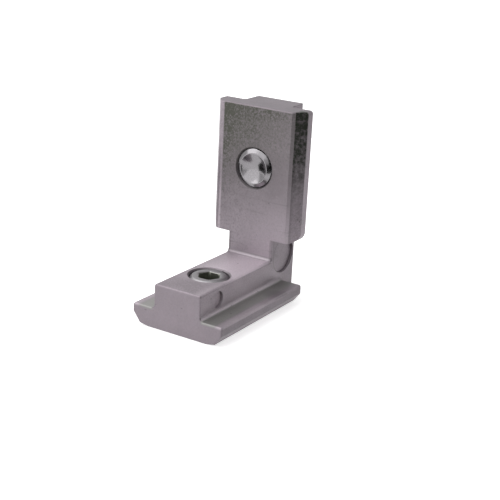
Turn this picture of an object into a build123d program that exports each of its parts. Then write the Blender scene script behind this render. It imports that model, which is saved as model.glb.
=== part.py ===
"""Corner bracket for 8 mm T-slots: one die-cast L and its two M6 set screws.

Each leg has a T-shaped section: a narrow neck that stands in the slot's opening and a wide
flange whose wings bear on the inside of the slot's lips. The base leg lies on its flange with
the neck up. The upright leg is turned round: its flange faces the inside of the L and its neck
faces out at the back. The elbow between them is as wide as the neck alone.

Frame: +X from the back of the elbow towards the tip of the base leg, +Y to the side with the
ejector marks, +Z up. The origin is under the middle of the base leg, on its flat underside.
"""

from build123d import *
import os
from math import radians, tan

# ---- Driving dimensions, in millimetres -------------------------------------------------

# The slots that the legs slide into
slot_opening = 8.2
neck_side_clearance = 0.15

# Section shared by both legs
leg_thickness = 6.8
flange_width = 15.3
flange_thickness = 3.1
flange_edge_height = 1.3
side_bevel_width = 1.2
face_bevel_depth = 0.25
base_face_bevel_width = 1.4
upright_face_bevel_width = 0.5

# Lengths of the legs
base_length = 25.45
upright_height = 29.9
lip_gap = 3.25

# Cast radii
root_radius = 0.6
edge_radius = 0.35
end_radius = 0.25
inner_corner_radius = 0.6
wing_back_radius = 0.3
flange_low_corner_radius = 1.5
flange_top_corner_radius = 0.5

# Set screws and their tapped holes
screw_diameter = 5.9
screw_length = 6.0
thread_play = 0.05
hole_mouth_diameter = 6.4
socket_across_flats = 3.0
socket_depth = 3.0
drill_point_angle = 120.0
screw_end_chamfer = 0.45
cup_diameter = 4.4
cup_depth = 0.7
base_screw_from_tip = 7.9
upright_screw_from_tip = 9.35
base_screw_recess = 0.05
upright_screw_recess = 0.1

# Round marks of the ejector pins, on one side of the casting
mark_depth = 0.35
elbow_mark_radius = 2.8
elbow_mark_height = 7.05
base_mark_radius = 1.25
base_mark_height = 5.05
base_mark_from_tip = 4.4

# ---- Derived sizes and places -----------------------------------------------------------

neck_width = slot_opening - 2 * neck_side_clearance
half_neck = neck_width / 2
half_flange = flange_width / 2

back_x = -base_length / 2
tip_x = base_length / 2
face_x = back_x + leg_thickness
wing_start_x = face_x - flange_thickness
flange_low_z = leg_thickness + lip_gap
heel_x = face_x + 2 * inner_corner_radius
column_top_z = flange_low_z + 4 * end_radius

base_screw_x = tip_x - base_screw_from_tip
upright_screw_z = upright_height - upright_screw_from_tip
hole_radius = screw_diameter / 2 + thread_play
mouth_radius = hole_mouth_diameter / 2
mouth_depth = mouth_radius - hole_radius

base_section_plane = Plane(origin=(wing_start_x, 0, 0), x_dir=(0, 1, 0), z_dir=(1, 0, 0))
upright_section_plane = Plane(origin=(face_x, 0, flange_low_z), x_dir=(0, 1, 0), z_dir=(0, 0, 1))


def leg_section(face_bevel_width):
    """T-section with the flange's face on the local X axis and the neck pointing along local Y.

    The neck's roots and its long outer edges are rounded.
    """
    bevel_top = flange_thickness - flange_edge_height
    face_half = half_flange - side_bevel_width - face_bevel_width
    with BuildSketch() as section:
        with BuildLine():
            Polyline(
                (0, 0),
                (face_half, 0),
                (half_flange - side_bevel_width, face_bevel_depth),
                (half_flange, bevel_top),
                (half_flange, flange_thickness),
                (half_neck, flange_thickness),
                (half_neck, leg_thickness),
                (0, leg_thickness),
            )
            mirror(about=Plane.YZ)
        make_face()
        corners = (
            (half_neck, flange_thickness, root_radius),
            (half_neck, leg_thickness, edge_radius),
        )
        for x, y, radius in corners:
            both = [v for v in section.vertices() if abs(abs(v.X) - x) < 0.01 and abs(v.Y - y) < 0.01]
            fillet(both, radius)
    return section.sketch


# ---- The casting ------------------------------------------------------------------------

with BuildPart() as base_leg:
    with BuildSketch(base_section_plane):
        add(leg_section(base_face_bevel_width))
    extrude(amount=tip_x - wing_start_x)
    long_edges = base_leg.edges().filter_by(Axis.X)
    wing_edges = [
        e
        for e in long_edges
        if abs(abs(e.center().Y) - half_flange) < 0.01 and abs(e.center().Z - flange_thickness) < 0.01
    ]
    fillet(wing_edges, edge_radius)
    fillet(base_leg.faces().sort_by(Axis.X)[-1].edges(), end_radius)
    back_edges = base_leg.faces().sort_by(Axis.X)[0].edges().filter_by(Axis.Y)
    wing_back_edges = [e for e in back_edges if abs(e.center().Z - flange_thickness) < 0.01]
    fillet(wing_back_edges, wing_back_radius)

with BuildPart() as upright_leg:
    with BuildSketch(upright_section_plane):
        add(leg_section(upright_face_bevel_width))
    extrude(amount=upright_height - flange_low_z)
    # The flange's corners are rounded in the view from the front
    with BuildSketch(Plane.YZ.offset(back_x)):
        with Locations((0, (flange_low_z + upright_height) / 2)):
            Rectangle(flange_width, upright_height - flange_low_z)
        fillet(vertices().group_by(Axis.Y)[0], flange_low_corner_radius)
        fillet(vertices().group_by(Axis.Y)[-1], flange_top_corner_radius)
    extrude(amount=leg_thickness, mode=Mode.INTERSECT)
    top_edges = upright_leg.faces().sort_by(Axis.Z)[-1].edges()
    fillet([e for e in top_edges if abs(e.center().X - face_x) < 0.01], end_radius)

with BuildPart() as elbow:
    # Side view: a column that rises into the upright leg, and a heel that reaches into the neck
    # of the base leg and carries the rounded inner corner of the L
    with BuildSketch(Plane.XZ):
        with BuildLine():
            Polyline(
                (back_x, 0),
                (face_x, 0),
                (face_x, flange_thickness),
                (heel_x, flange_thickness),
                (heel_x, leg_thickness),
                (face_x, leg_thickness),
                (face_x, column_top_z),
                (back_x, column_top_z),
                close=True,
            )
        make_face()
        inner_corner = [
            v for v in vertices() if abs(v.X - face_x) < 0.01 and abs(v.Y - leg_thickness) < 0.01
        ]
        fillet(inner_corner, inner_corner_radius)
    extrude(amount=half_neck, both=True)
    side_edges = [e for e in elbow.edges() if abs(abs(e.center().Y) - half_neck) < 0.01]
    back_edges = [e for e in side_edges if abs(e.center().X - back_x) < 0.01]
    front_edges = [
        e
        for e in side_edges
        if e.center().X > face_x - 0.01 and leg_thickness - 0.01 < e.center().Z < column_top_z - 0.01
    ]
    fillet(back_edges + front_edges, edge_radius)
    underside = elbow.faces().sort_by(Axis.Z)[0]
    fillet([e for e in underside.edges() if e.center().X < face_x - 0.01], end_radius)

with BuildPart() as bracket_body:
    add(base_leg.part)
    add(upright_leg.part)
    add(elbow.part)
    # Tapped holes, bored to the outside of their thread, with a countersunk mouth at each end
    hole_planes = [
        Plane(origin=(base_screw_x, 0, leg_thickness), z_dir=(0, 0, 1)),
        Plane(origin=(base_screw_x, 0, 0), z_dir=(0, 0, -1)),
        Plane(origin=(face_x, 0, upright_screw_z), z_dir=(1, 0, 0)),
        Plane(origin=(back_x, 0, upright_screw_z), z_dir=(-1, 0, 0)),
    ]
    for plane in hole_planes:
        with BuildSketch(plane):
            Circle(hole_radius)
        extrude(amount=-leg_thickness, mode=Mode.SUBTRACT)
        with BuildSketch(plane):
            Circle(mouth_radius)
        extrude(amount=-mouth_depth, taper=45, mode=Mode.SUBTRACT)
    # Ejector marks
    with BuildSketch(Plane.XZ.offset(-half_neck)):
        with Locations(((back_x + face_x) / 2, elbow_mark_height)):
            Circle(elbow_mark_radius)
        with Locations((tip_x - base_mark_from_tip, base_mark_height)):
            Circle(base_mark_radius)
    extrude(amount=mark_depth, mode=Mode.SUBTRACT)

# ---- The set screws ---------------------------------------------------------------------


def set_screw(plane):
    """Socket set screw with a cup point, its socket face on the plane and its point below it."""
    radius = screw_diameter / 2
    cup_radius = cup_diameter / 2
    with BuildPart(plane) as screw:
        Cylinder(radius, screw_length, align=(Align.CENTER, Align.CENTER, Align.MAX))
        chamfer(screw.edges().filter_by(GeomType.CIRCLE), screw_end_chamfer)
        with BuildSketch(plane):
            RegularPolygon(socket_across_flats / 2, 6, major_radius=False, rotation=30)
        extrude(amount=-socket_depth, mode=Mode.SUBTRACT)
        drill_depth = socket_across_flats / 2 / tan(radians(drill_point_angle / 2))
        with Locations((0, 0, -socket_depth)):
            Cone(
                0,
                socket_across_flats / 2,
                drill_depth,
                align=(Align.CENTER, Align.CENTER, Align.MAX),
                mode=Mode.SUBTRACT,
            )
        with Locations((0, 0, -screw_length)):
            Cone(
                cup_radius,
                0,
                cup_depth,
                align=(Align.CENTER, Align.CENTER, Align.MIN),
                mode=Mode.SUBTRACT,
            )
    return screw.part


base_plane = Plane(origin=(base_screw_x, 0, leg_thickness - base_screw_recess), z_dir=(0, 0, 1))
upright_plane = Plane(
    origin=(face_x - upright_screw_recess - screw_length, 0, upright_screw_z), z_dir=(-1, 0, 0)
)

with BuildPart() as base_leg_set_screw:
    add(set_screw(base_plane))

with BuildPart() as upright_leg_set_screw:
    add(set_screw(upright_plane))

# ---- Export -----------------------------------------------------------------------------

bracket_body.part.label = "bracket_body"
base_leg_set_screw.part.label = "base_leg_set_screw"
upright_leg_set_screw.part.label = "upright_leg_set_screw"

os.makedirs("parts", exist_ok=True)
export_step(bracket_body.part, "parts/bracket_body.step")
export_step(base_leg_set_screw.part, "parts/base_leg_set_screw.step")
export_step(upright_leg_set_screw.part, "parts/upright_leg_set_screw.step")
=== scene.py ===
"""Looks of the T-slot corner bracket: the casting's finish, its two set screws, their threaded
holes and the studio.

Lengths are in metres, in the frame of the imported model. The places in the casting's finish are
in millimetres.
"""

from math import radians, tau

import bmesh
import bpy
import numpy as np
from mathutils import Matrix, Vector


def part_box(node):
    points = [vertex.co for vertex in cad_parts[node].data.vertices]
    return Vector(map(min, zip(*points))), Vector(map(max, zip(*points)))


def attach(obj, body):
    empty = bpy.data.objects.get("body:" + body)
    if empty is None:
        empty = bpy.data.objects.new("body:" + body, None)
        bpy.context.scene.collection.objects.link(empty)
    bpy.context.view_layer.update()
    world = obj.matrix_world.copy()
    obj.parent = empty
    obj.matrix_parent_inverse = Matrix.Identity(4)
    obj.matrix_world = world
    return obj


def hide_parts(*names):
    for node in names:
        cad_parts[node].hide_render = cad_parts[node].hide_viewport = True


MM = 0.001

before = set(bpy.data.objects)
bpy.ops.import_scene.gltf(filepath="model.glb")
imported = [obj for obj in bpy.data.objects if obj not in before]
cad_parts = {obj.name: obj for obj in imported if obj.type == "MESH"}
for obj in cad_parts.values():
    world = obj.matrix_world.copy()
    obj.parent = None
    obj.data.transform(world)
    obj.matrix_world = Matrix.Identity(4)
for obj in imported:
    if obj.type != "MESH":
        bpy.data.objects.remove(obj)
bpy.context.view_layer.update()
scene = bpy.context.scene

# Places of the solids
back_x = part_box("bracket_body")[0].x
base_low, base_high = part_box("base_leg_set_screw")
upright_low, upright_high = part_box("upright_leg_set_screw")
base_axis_x = (base_low.x + base_high.x) / 2
upright_axis_z = (upright_low.z + upright_high.z) / 2
LEG_THICKNESS = 6.8 * MM

# M6 thread of the screws and of the holes. The flats of its crest and root are shares of the
# pitch, and a hole's ridge ends a little short of the screw's root.
PITCH = 1.0 * MM
CREST_FLAT = 0.24
ROOT_FLAT = 0.14
SCREW_CREST = 2.95 * MM
SCREW_ROOT = 2.45 * MM
HOLE_WALL = 3.02 * MM
RIDGE_SKIN = 0.03 * MM
RIDGE_HEIGHT = 0.48 * MM

# Socket set screw with a cup point
SCREW_LENGTH = 6.0 * MM
HALF_FLATS = 1.5 * MM
CUP_RIM = 2.20 * MM
CUP_DEPTH = 0.72 * MM

# Angles of the points of a turned piece
TURN = np.linspace(0, tau, 144, endpoint=False)


# ---- Meshes ------------------------------------------------------------------------------


def grid_faces(rows, columns):
    """Quads of a grid of points, row by row, closed round its columns."""
    start = np.arange(rows - 1)[:, None] * columns
    here = start + np.arange(columns)
    beside = start + (np.arange(columns) + 1) % columns
    return np.stack([here, beside, beside + columns, here + columns], axis=-1).reshape(-1, 4)


def stations(radius, depth):
    """Rows of a turned piece's profile: a radius and a depth at each angle of the turn."""
    shape = np.broadcast_shapes(np.shape(radius), np.shape(depth), TURN.shape)
    pair = [np.broadcast_to(radius, shape), np.broadcast_to(depth, shape)]
    return np.stack(pair, axis=-1).reshape(-1, len(TURN), 2)


def turned_piece(name, profile, origin, along, side, material):
    """Piece turned about an axis, from a grid of radius and depth.

    A point lies its depth along the axis, its radius times the cosine of its angle to the side,
    and its radius times the sine of it across both.
    """
    along = np.array(along, float)
    side = np.array(side, float)
    across = np.cross(along, side)
    radius = profile[..., 0]
    to_side = (radius * np.cos(TURN))[..., None]
    to_across = (radius * np.sin(TURN))[..., None]
    points = np.array(origin) + to_side * side + to_across * across + profile[..., 1:] * along
    mesh = bpy.data.meshes.new(name)
    faces = grid_faces(len(profile), len(TURN))
    mesh.from_pydata(points.reshape(-1, 3).tolist(), [], faces.tolist())
    mesh.materials.append(material)
    mesh.validate()
    mesh.update()
    piece = bpy.data.objects.new(name, mesh)
    scene.collection.objects.link(piece)
    return piece


def weld(piece):
    """Merges doubles, turns the faces outwards and shades them smooth up to 30 degrees."""
    same_place = 1e-7
    work = bmesh.new()
    work.from_mesh(piece.data)
    bmesh.ops.remove_doubles(work, verts=work.verts, dist=same_place)
    bmesh.ops.dissolve_degenerate(work, edges=work.edges, dist=same_place)
    bmesh.ops.recalc_face_normals(work, faces=work.faces)
    work.to_mesh(piece.data)
    work.free()
    piece.data.shade_smooth()
    piece.data.set_sharp_from_angle(angle=radians(30))


def thread_wave(depth):
    """Trapezoid wave of the thread at each angle of the turn, from 0 in the root to 1 on the crest.

    The phase is the depth over the pitch less the turn, so the crest climbs one pitch a turn.
    The wave falls in a straight line from the flat of the crest to the flat of the root, and its
    two flanks are about 60 degrees apart.
    """
    phase = (depth / PITCH - TURN / tau) % 1.0
    from_crest = np.abs(phase - 0.5) * 2.0
    return np.clip((1.0 - ROOT_FLAT - from_crest) / (1.0 - CREST_FLAT - ROOT_FLAT), 0.0, 1.0)


def set_screw(name, origin, along, side, material, socket_turn):
    """Socket set screw whose socket face lies at the origin and whose point is ahead.

    The stations run from the middle of the drilled cone up the six walls of the socket, over
    the face and its chamfer, down the thread, and over the point's chamfer and rim into the
    cup. A socket station's radius is the half width across flats over the cosine of the angle
    to the nearest flat. A thread station's radius is the smallest of the thread's wave and the
    chamfers of both ends, and the thread runs out to its full radius at the ends. The cup's
    depth is one less the power 1.8 of the share of its radius, times its depth in the middle.
    """
    to_flat = (TURN - socket_turn) % (tau / 6) - tau / 12
    hexagon = HALF_FLATS / np.cos(to_flat)
    # Radius and depth of each station
    socket = [
        stations(0.0, 3.87 * MM),
        stations(0.7 * MM, 3.47 * MM),
        stations(HALF_FLATS, 3.0 * MM),
        stations(hexagon, 2.98 * MM),
        stations(hexagon, 2.0 * MM),
        stations(hexagon, 1.0 * MM),
        stations(hexagon, 0.14 * MM),
    ]
    face = [
        stations(hexagon + 0.05 * MM, 0.06 * MM),
        stations(np.maximum(hexagon, 1.78 * MM) + 0.04 * MM, 0.0),
        stations(2.42 * MM, 0.0),
        stations(2.52 * MM, 0.02 * MM),
    ]
    end_gap = 0.08 * MM
    runout_length = 0.7 * MM
    face_slope = 1.1
    point_slope = 1.6
    depth = np.linspace(end_gap, SCREW_LENGTH - end_gap, 113)[:, None]
    from_end = np.minimum(depth, SCREW_LENGTH - depth)
    runout = np.clip(1.5 - from_end / runout_length, 0.0, 1.0)
    wave = np.maximum(thread_wave(depth), runout)
    threaded = SCREW_ROOT + (SCREW_CREST - SCREW_ROOT) * wave
    face_chamfer = 2.55 * MM + face_slope * (depth - 0.04 * MM)
    point_chamfer = 2.38 * MM + point_slope * (SCREW_LENGTH - 0.03 * MM - depth)
    thread = stations(np.minimum(np.minimum(threaded, face_chamfer), point_chamfer), depth)
    rim = [
        stations(2.37 * MM, SCREW_LENGTH - 0.02 * MM),
        stations(2.32 * MM, SCREW_LENGTH),
        stations(2.27 * MM, SCREW_LENGTH),
        stations(CUP_RIM, SCREW_LENGTH - 0.04 * MM),
    ]
    share = np.linspace(0.94, 0.0, 16)[:, None]
    cup_depth = CUP_DEPTH * (1 - share**1.8)
    cup = stations(CUP_RIM * share, SCREW_LENGTH - 0.05 * MM - cup_depth)
    profile = np.concatenate(socket + face + [thread] + rim + [cup])
    piece = turned_piece(name, profile, origin, along, side, material)
    in_socket = np.arange(len(profile)) < len(socket)
    values = np.repeat(in_socket, len(TURN)).astype(float)
    piece.data.attributes.new("socket", "FLOAT", "POINT").data.foreach_set("value", values)
    weld(piece)
    return piece


def hole_thread(name, origin, along, side, depth_shift, material):
    """Ridge of a tapped hole's thread, a thin tube fixed in the wall of a leg's hole.

    Its closed profile goes down the hole along the wave and back up along the hole's wall. The
    wave is the screw's, turned inside out, so its crest stands in the screw's root. The ridge
    runs out towards both mouths of the hole.
    """
    mouth_gap = 0.5 * MM
    runout_length = 0.35 * MM
    depth = np.linspace(mouth_gap, LEG_THICKNESS - mouth_gap, 97)[:, None]
    wave = 1.0 - thread_wave(depth - depth_shift)
    from_end = np.minimum(depth - depth[0], depth[-1] - depth)
    runout = np.minimum(1.0, from_end / runout_length)
    ridge = stations(HOLE_WALL - RIDGE_SKIN - RIDGE_HEIGHT * wave * runout, depth)
    wall = stations(HOLE_WALL, depth[[-1, 0]])
    profile = np.concatenate([ridge, wall, ridge[:1]])
    piece = turned_piece(name, profile, origin, along, side, material)
    weld(piece)
    return piece


# ---- Materials ---------------------------------------------------------------------------


class Nodes:
    """Node tree that is built up step by step. A share is a number from 0 to 1."""

    def __init__(self, tree):
        self.tree = tree

    def add(self, kind, **settings):
        """New node with its settings."""
        node = self.tree.nodes.new(kind)
        for key, value in settings.items():
            setattr(node, key, value)
        return node

    def put(self, socket, value):
        """Sets a socket to a constant, or links another socket to it."""
        if isinstance(value, bpy.types.NodeSocket):
            self.tree.links.new(value, socket)
        else:
            socket.default_value = value

    def math(self, operation, a, b=0.0):
        """Result of one sum, product or other operation."""
        node = self.add("ShaderNodeMath", operation=operation)
        self.put(node.inputs[0], a)
        self.put(node.inputs[1], b)
        return node.outputs[0]

    def chain(self, operation, values):
        """One operation on the first two values, then on its result and the next."""
        result = values[0]
        for value in values[1:]:
            result = self.math(operation, result, value)
        return result

    def product(self, *values):
        """All the values multiplied."""
        return self.chain("MULTIPLY", values)

    def total(self, *values):
        """All the values added."""
        return self.chain("ADD", values)

    def largest(self, *values):
        """The largest of the values."""
        return self.chain("MAXIMUM", values)

    def weigh(self, value, factor, offset):
        """A value times a factor, plus an offset."""
        return self.total(self.product(value, factor), offset)

    def rest(self, share):
        """What a share leaves of one."""
        return self.math("SUBTRACT", 1.0, share)

    def ramp(self, value, low, high):
        """Smooth step from 0 at the first value to 1 at the second, which may be the smaller."""
        node = self.add("ShaderNodeMapRange", interpolation_type="SMOOTHSTEP")
        self.put(node.inputs["Value"], value)
        node.inputs["From Min"].default_value = low
        node.inputs["From Max"].default_value = high
        return node.outputs["Result"]

    def in_plain_view(self):
        """1 for what is seen straight on, in a reflection or through glass, and 0 as a lamp."""
        rays = self.add("ShaderNodeLightPath").outputs
        kinds = ("Is Camera Ray", "Is Glossy Ray", "Is Transmission Ray")
        return self.largest(*(rays[kind] for kind in kinds))


class Finish(Nodes):
    """Material that follows the object's own coordinates."""

    def __init__(self, name):
        self.material = bpy.data.materials.new(name)
        self.material.use_nodes = True
        super().__init__(self.material.node_tree)
        self.shader = self.tree.nodes["Principled BSDF"]
        self.where = self.add("ShaderNodeTexCoord").outputs["Object"]

    def noise(self, scale, detail, roughness, stretch=None):
        """Noise of so many cells a metre, stretched along an axis where that is given."""
        where = self.where
        if stretch:
            mapping = self.add("ShaderNodeMapping")
            self.put(mapping.inputs["Vector"], where)
            mapping.inputs["Scale"].default_value = stretch
            where = mapping.outputs["Vector"]
        node = self.add("ShaderNodeTexNoise")
        self.put(node.inputs["Vector"], where)
        node.inputs["Scale"].default_value = scale
        node.inputs["Detail"].default_value = detail
        node.inputs["Roughness"].default_value = roughness
        return node.outputs["Fac"]

    def blend(self, share, first, second):
        """Colour between two others."""
        node = self.add("ShaderNodeMix", data_type="RGBA")
        self.put(node.inputs["Factor"], share)
        self.put(node.inputs["A"], first)
        self.put(node.inputs["B"], second)
        return node.outputs["Result"]

    def bump(self, height, strength, distance):
        """Bump on the shader's normal, of a height that is a share of the distance in metres."""
        node = self.add("ShaderNodeBump")
        self.put(node.inputs["Height"], height)
        node.inputs["Strength"].default_value = strength
        node.inputs["Distance"].default_value = distance
        self.put(self.shader.inputs["Normal"], node.outputs["Normal"])


# Colours of the casting, from painted light through its own tones to painted shade and dirt
PAINTED_LIGHT_ZINC = (0.64, 0.565, 0.62, 1)
PAINTED_WING_LIGHT = (0.60, 0.53, 0.58, 1)
LIGHT_ZINC = (0.292, 0.252, 0.281, 1)
DARK_ZINC = (0.205, 0.177, 0.197, 1)
OLIVE_ZINC = (0.265, 0.28, 0.25, 1)
CORNER_SHADE = (0.10, 0.088, 0.096, 1)
END_SHADE = (0.09, 0.078, 0.087, 1)
FACE_SHADE = (0.06, 0.052, 0.058, 1)
DARK_FACE_TONE = (0.055, 0.056, 0.045, 1)
GRIME_AND_PAINTED_SHADE = (0.03, 0.03, 0.028, 1)
PAINTED_BEVEL_SHADE = (0.022, 0.028, 0.018, 1)

# Ejector marks: place along X and Z and radius, in millimetres
ELBOW_MARK = (-9.325, 7.05, 2.8)
BASE_MARK = (8.325, 5.05, 1.25)


class CastZinc(Finish):
    """As-cast zinc, cloudy and finely grained, smoother on the end of the base leg's tip.

    Each step after the grain blends the colour so far towards another in one place of the
    bracket, and several of these steps paint light or shade. Places are in millimetres along its
    axes.
    """

    def __init__(self):
        super().__init__("cast_zinc")
        axes = self.add("ShaderNodeSeparateXYZ")
        self.put(axes.inputs[0], self.where)
        self.x, self.y, self.z = axes.outputs
        self.off_middle = self.math("ABSOLUTE", self.y)

        grain = self.noise(3800.0, 4.0, 0.7)
        fine = self.noise(9000.0, 2.0, 0.5)
        clouds = self.noise(240.0, 3.0, 0.55)
        rough = self.rest(self.product(self.fade(self.x, 12.5, 12.7), 0.7))
        self.relief = self.product(self.math("SUBTRACT", grain, 0.5), rough)
        clouds = self.weigh(self.math("SUBTRACT", clouds, 0.5), rough, 0.5)
        self.mottle = self.total(self.product(clouds, 0.7), self.product(self.relief, 1.1))
        self.colour = self.blend(self.ramp(self.mottle, 0.15, 0.55), DARK_ZINC, LIGHT_ZINC)

        self.on_wing = self.product(
            self.band(self.z, 2.7, 2.9, 3.2, 3.5), self.fade(self.off_middle, 4.0, 4.3)
        )
        self.on_side = self.fade(self.off_middle, 3.35, 3.5)
        self.on_face = self.product(
            self.fade(self.x, -6.6, -6.1),
            self.fade(self.y, -5.75, -5.45),
            self.band(self.z, 7.0, 7.6, 29.6, 29.85),
        )
        self.tint_wings()
        self.paint_light_on_neck_and_foot()
        self.shade_ends()
        self.darken_face()
        self.shade_bevel()
        self.draw_fine_marks()

        self.put(self.shader.inputs["Base Color"], self.colour)
        self.shader.inputs["Metallic"].default_value = 0.6
        self.put(self.shader.inputs["Roughness"], self.weigh(grain, 0.16, 0.40))
        height = self.total(self.product(self.relief, 0.7), self.product(fine, 0.3))
        self.bump(height, 0.35, 0.03 * MM)

    def fade(self, value, low, high):
        """Smooth step between two lengths in millimetres."""
        return self.ramp(value, low * MM, high * MM)

    def band(self, value, start, full, still_full, end):
        """Smooth step up and another one down again, between lengths in millimetres."""
        return self.product(self.fade(value, start, full), self.fade(value, end, still_full))

    def tint(self, colour, *shares):
        """Blends the colour so far towards another, by the product of the shares."""
        self.colour = self.blend(self.product(*shares), self.colour, colour)

    def from_axis(self, first, second, first_centre, second_centre):
        """Distance from an axis: the root of the sum of the squares of two offsets."""
        off_first = self.math("SUBTRACT", first, first_centre)
        off_second = self.math("SUBTRACT", second, second_centre)
        squares = self.total(
            self.product(off_first, off_first), self.product(off_second, off_second)
        )
        return self.math("SQRT", squares)

    def ring(self, centre_x, centre_z, radius):
        """Thin ring about a point in the XZ plane, where the distance from it is the radius."""
        away = self.from_axis(self.x, self.z, centre_x * MM, centre_z * MM)
        from_ring = self.math("ABSOLUTE", self.math("SUBTRACT", away, radius * MM))
        return self.fade(from_ring, 0.16, 0.04)

    def tint_wings(self):
        """Tops of the base leg's wings: painted light towards the elbow, olive inside, and a
        painted highlight on their outer rim.
        """
        # Painted light on the wing tops, stronger towards the elbow
        self.tint(PAINTED_WING_LIGHT, self.on_wing, self.fade(self.x, 8, -9), 0.25)
        self.tint(OLIVE_ZINC, self.on_wing, self.fade(self.off_middle, 7.0, 6.0), 0.6)
        # Painted highlight along the wings' outer rim
        rim = self.product(self.fade(self.off_middle, 6.3, 7.0), self.fade(self.x, -0.5, 3))
        self.tint(PAINTED_WING_LIGHT, self.on_wing, rim, 0.3)

    def paint_light_on_neck_and_foot(self):
        """Painted light on the base leg's neck and on the foot of the upright leg's face.

        The neck's top is lighter towards the elbow and +Y, with a painted highlight along its +Y
        rim.
        Its sides get painted bounce light downwards, fading out at the back of the elbow. The foot
        gets painted bounce light, more towards +Y. The round inner corner between neck and foot
        gets painted shade.
        """
        neck = self.product(self.band(self.z, 3.12, 3.3, 6.9, 7.3), self.fade(self.x, 12.6, 12.4))
        below_rim = self.product(self.on_side, self.fade(self.z, 6.72, 6.6))
        to_right = self.weigh(self.fade(self.y, -4.5, 0.5), 0.72, 0.28)
        top = self.product(self.fade(self.x, 9.5, 1.5), to_right, self.rest(below_rim))
        rim = self.product(self.fade(self.y, 2.0, 3.4), self.fade(self.z, 6.6, 6.75), 0.3)
        top = self.product(self.largest(top, rim), self.fade(self.x, -6.1, -5.9))
        sides = self.weigh(self.fade(self.z, 6.4, 3.4), 0.5, 0.12)
        sides = self.product(sides, below_rim, self.fade(self.x, -11, -5))
        neck = self.product(neck, self.total(top, sides))

        foot = self.product(self.band(self.z, 7.0, 7.6, 8, 20), self.fade(self.x, -6.3, -6.1))
        foot = self.product(foot, self.weigh(self.fade(self.y, -3, 6), 0.34, 0.30))
        # Painted light: lighter neck top, rim highlight, and bounce light on the neck's sides and
        # the foot
        self.tint(PAINTED_LIGHT_ZINC, self.total(neck, foot), self.weigh(self.relief, 0.8, 0.9))

        # Painted shade in the round inner corner between neck and foot
        corner_height = self.band(self.z, 6.75, 6.85, 7.2, 7.45)
        self.tint(CORNER_SHADE, corner_height, self.band(self.x, -6.0, -5.94, -5.55, -5.3), 0.55)

    def shade_ends(self):
        """Darker ends of both legs, elbow sides, mouths of the holes, edge and patch of a wing."""
        top_end = self.product(self.fade(self.z, 29.7, 29.88), 0.48)
        tip_end = self.product(self.fade(self.x, 12.62, 12.7), 0.22)
        elbow = self.product(self.fade(self.x, -1, -7), self.fade(self.z, 10.3, 9.9))
        elbow = self.product(self.on_side, elbow, 0.34)
        low_edge = self.product(self.fade(self.y, 7.3, 7.6), self.fade(self.z, 2.9, 2.7), 0.5)
        from_patch = self.from_axis(self.x, self.y, -3.4 * MM, 7.2 * MM)
        patch = self.product(self.fade(from_patch, 3.2, 0.8), self.on_wing, 0.45)
        base_mouth = self.fade(self.from_axis(self.x, self.y, base_axis_x, 0.0), 3.24, 3.16)
        upright_mouth = self.fade(self.from_axis(self.y, self.z, 0.0, upright_axis_z), 3.24, 3.16)
        mouths = self.product(self.largest(base_mouth, upright_mouth), 0.8)
        self.tint(END_SHADE, self.largest(top_end, tip_end, elbow, low_edge, patch, mouths))

    def darken_face(self):
        """Darker face of the upright leg, more so towards its top and its -Y side.

        It is darker still along its top and its -Y edge, where the dark band widens upwards.
        """
        to_left = self.fade(self.y, 9, -9)
        coarse = self.total(self.product(self.relief, 2.5), self.weigh(self.mottle, 0.6, 0.8))
        coarse = self.product(self.on_face, coarse)
        self.tint(FACE_SHADE, coarse, self.weigh(to_left, 0.16, 0.27))

        upward_darkening = self.product(coarse, self.fade(self.z, 9, 31), self.weigh(to_left, 0.50, 0.42))
        slanted = self.math("SUBTRACT", self.y, self.product(self.z, 0.14))
        edge = self.product(self.fade(slanted, -6.9, -9.0), 0.42)
        top = self.product(self.fade(self.z, 27.6, 29.4), 0.3)
        dark_band = self.product(self.total(edge, top), self.on_face)
        dark_band = self.product(dark_band, self.ramp(self.mottle, 0.2, 0.55))
        self.tint(DARK_FACE_TONE, self.total(upward_darkening, dark_band))

    def shade_bevel(self):
        """Dark, mottled painted shade on the upright leg's +Y bevel, darker towards its top.

        The painted shade is blotches and grain less an even part, and never less than a thin film.
        """
        bevel = self.product(self.fade(self.y, 6.35, 6.5), self.fade(self.x, -7.9, -7.6))
        bevel = self.product(bevel, self.fade(self.z, 12, 27))
        blotches = self.noise(1700.0, 3.0, 0.65)
        mottled = self.total(self.product(blotches, 3.0), self.product(self.relief, 1.2))
        uneven = self.math("SUBTRACT", self.product(bevel, mottled), self.product(bevel, 0.68))
        bevel_shade = self.largest(uneven, self.product(bevel, 0.3))
        # Painted shade on the +Y bevel
        self.tint(PAINTED_BEVEL_SHADE, self.math("MINIMUM", bevel_shade, 0.96))

    def draw_fine_marks(self):
        """Parting line and scuffs on the upright face, pits, and the ejector marks' outlines in
        painted shade.

        The scuffs run across the face's lower half. Only the back half of the base leg's mark
        is outlined. The wall of the elbow's mark gets painted light instead of the outline's
        painted shade, more so lower down.
        """
        line = self.product(self.fade(self.off_middle, 0.16, 0.03), self.fade(self.z, 22, 24))
        line = self.product(line, self.on_face, 0.13)
        scuffs = self.ramp(self.noise(900.0, 2.0, 0.5, stretch=(1.0, 0.07, 1.0)), 0.56, 0.68)
        scuffs = self.product(scuffs, self.fade(self.z, 19, 13), self.on_face, 0.32)
        pits = self.product(self.ramp(self.noise(1300.0, 1.0, 0.4), 0.745, 0.78), 0.35)
        elbow_ring = self.ring(*ELBOW_MARK)
        base_ring = self.product(self.ring(*BASE_MARK), self.fade(self.x, 8.6, 8.0), 0.6)
        wall = self.product(elbow_ring, self.band(self.y, 3.6, 3.66, 3.87, 3.93))
        wall = self.product(wall, self.fade(self.z, 9.0, 5.5))
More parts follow.
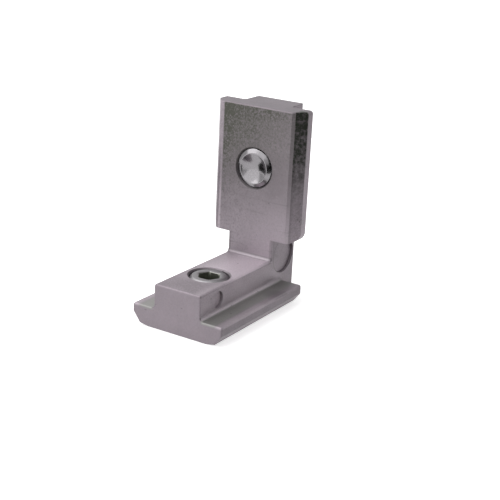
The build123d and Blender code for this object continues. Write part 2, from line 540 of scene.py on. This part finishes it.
        # The outline is painted shade at the rims of the ejector marks' recesses
        outline = self.product(self.largest(elbow_ring, base_ring), self.fade(self.y, 3.3, 3.5))
        outline = self.product(outline, self.rest(wall), 0.42)
        self.tint(GRIME_AND_PAINTED_SHADE, self.largest(line, scuffs, pits, outline))
        # Painted light on the wall of the elbow's mark
        self.tint(PAINTED_LIGHT_ZINC, wall, 0.5)


def screw_steel(name, colour, roughness):
    """Plated steel of a screw, faintly grained, with an olive-grey socket."""
    finish = Finish(name)
    grain = finish.noise(5000.0, 3.0, 0.6)
    darker = tuple(0.85 * part for part in colour)
    tone = finish.blend(finish.ramp(grain, 0.3, 0.7), (*darker, 1), (*colour, 1))
    socket = finish.add("ShaderNodeAttribute", attribute_name="socket").outputs["Fac"]
    colour_in_socket = finish.blend(socket, tone, (0.29, 0.30, 0.26, 1))
    finish.put(finish.shader.inputs["Base Color"], colour_in_socket)
    finish.shader.inputs["Metallic"].default_value = 1.0
    finish.put(finish.shader.inputs["Roughness"], finish.weigh(grain, 0.12, roughness))
    finish.bump(grain, 0.12, 0.01 * MM)
    return finish.material


zinc = CastZinc().material
dull_steel = screw_steel("dull_steel", (0.25, 0.24, 0.25), 0.32)
bright_steel = screw_steel("bright_steel", (0.225, 0.215, 0.225), 0.12)

# ---- The bracket and its screws ----------------------------------------------------------

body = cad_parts["bracket_body"]
body.data.materials.clear()
body.data.materials.append(zinc)

base_screw = set_screw(
    "base_screw", (base_axis_x, 0.0, base_high.z), (0, 0, -1), (1, 0, 0), dull_steel, radians(28.5)
)
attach(base_screw, "base_screw")
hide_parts("base_leg_set_screw")

# The upright leg's screw stands a little further forward than its solid
stand_out = 0.35 * MM
socket_x = upright_low.x + stand_out
socket_face = (socket_x, 0.0, upright_axis_z)
upright_screw = set_screw(
    "upright_screw", socket_face, (1, 0, 0), (0, 0, 1), bright_steel, radians(12)
)
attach(upright_screw, "upright_screw")
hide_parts("upright_leg_set_screw")

# The holes' threads keep step with the screws', so their wave starts at the sockets' faces
neck_top = (base_axis_x, 0.0, LEG_THICKNESS)
neck_back = (back_x, 0.0, upright_axis_z)
base_thread = hole_thread(
    "base_hole_thread", neck_top, (0, 0, -1), (1, 0, 0), LEG_THICKNESS - base_high.z, zinc
)
upright_thread = hole_thread(
    "upright_hole_thread", neck_back, (1, 0, 0), (0, 0, 1), socket_x - back_x, zinc
)
for thread in (base_thread, upright_thread):
    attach(thread, "bracket")

# ---- Studio ------------------------------------------------------------------------------


def matt(name, colour):
    """Plain matt finish without gloss."""
    finish = Finish(name)
    finish.shader.inputs["Base Color"].default_value = colour
    finish.shader.inputs["Roughness"].default_value = 0.9
    finish.shader.inputs["Specular IOR Level"].default_value = 0.0
    return finish


def white_floor():
    """Matt white that glows a little in plain view, where it keeps the object's shadow."""
    finish = matt("floor_white", (0.93, 0.93, 0.93, 1))
    glow = finish.add("ShaderNodeEmission")
    mix = finish.add("ShaderNodeAddShader")
    finish.put(glow.inputs["Strength"], finish.product(finish.in_plain_view(), 0.62))
    finish.put(mix.inputs[0], finish.shader.outputs["BSDF"])
    finish.put(mix.inputs[1], glow.outputs["Emission"])
    finish.put(finish.tree.nodes["Material Output"].inputs["Surface"], mix.outputs["Shader"])
    return finish.material


def stage_card(name, corners, material):
    """Flat card of the studio between four corners."""
    mesh = bpy.data.meshes.new(name)
    mesh.from_pydata(corners, [], [(0, 1, 2, 3)])
    mesh.materials.append(material)
    card = bpy.data.objects.new(name, mesh)
    scene.collection.objects.link(card)
    return card


def flag(name, start, end, height):
    """Upright dark card between two points on the floor, which only shows in reflections."""
    corners = [(*start, 0.0), (*end, 0.0), (*end, height), (*start, height)]
    card = stage_card(name, corners, black)
    card.visible_camera = False
    card.visible_diffuse = False
    card.visible_shadow = False
    card.visible_transmission = False


def softbox(name, place, size, power):
    """Square area lamp that points at the middle of the bracket."""
    bracket_middle = Vector((0, 0, 0.012))
    lamp = bpy.data.lights.new(name, "AREA")
    lamp.shape = "SQUARE"
    lamp.size = size
    lamp.energy = power
    holder = bpy.data.objects.new(name, lamp)
    scene.collection.objects.link(holder)
    holder.location = place
    towards = bracket_middle - Vector(place)
    holder.rotation_euler = towards.to_track_quat("-Z", "Y").to_euler()


reach = 3.0
floor_z = -0.02 * MM
floor_corners = [(-reach, -reach), (reach, -reach), (reach, reach), (-reach, reach)]
stage_card("floor", [(*corner, floor_z) for corner in floor_corners], white_floor())

black = matt("flag_black", (0.01, 0.012, 0.01, 1)).material
flag("flag_right", (-0.03, 0.045), (0.06, 0.045), 0.035)
flag("flag_far_right", (-0.12, 0.12), (0.20, 0.12), 0.12)
flag("flag_left", (-0.014, -0.030), (0.016, -0.030), 0.016)
flag("flag_near", (0.0325, 0.032), (0.0395, 0.021), 0.028)

# White world, dimmer as a lamp than in plain view
world = bpy.data.worlds.new("studio")
scene.world = world
world.use_nodes = True
surroundings = Nodes(world.node_tree)
level = surroundings.add("ShaderNodeMapRange")
surroundings.put(level.inputs["Value"], surroundings.in_plain_view())
level.inputs["To Min"].default_value = 0.35
level.inputs["To Max"].default_value = 1.0
background = world.node_tree.nodes["Background"]
surroundings.put(background.inputs["Strength"], level.outputs["Result"])
background.inputs["Color"].default_value = (1, 1, 1, 1)

softbox("key", (0.03, -0.16, 0.30), 0.45, 0.80)
softbox("front", (0.25, -0.12, 0.20), 0.50, 0.78)
softbox("right", (0.05, 0.25, 0.20), 0.30, 0.06)

camera_data = bpy.data.cameras.new("camera")
camera_data.lens = 80.09
camera_data.sensor_width = 36.0
camera_data.clip_start = 0.005
camera = bpy.data.objects.new("camera", camera_data)
scene.collection.objects.link(camera)
camera_right = (-0.5366074, 0.84242664, 0.04868122)
camera_up = (-0.24993069, -0.21377264, 0.94437064)
camera_back = (0.8059697, 0.49458934, 0.32526025)
turn = Matrix((camera_right, camera_up, camera_back)).transposed().to_4x4()
camera.matrix_world = Matrix.Translation((0.13005, 0.08351, 0.06266)) @ turn
scene.camera = camera

scene.view_settings.view_transform = "Standard"
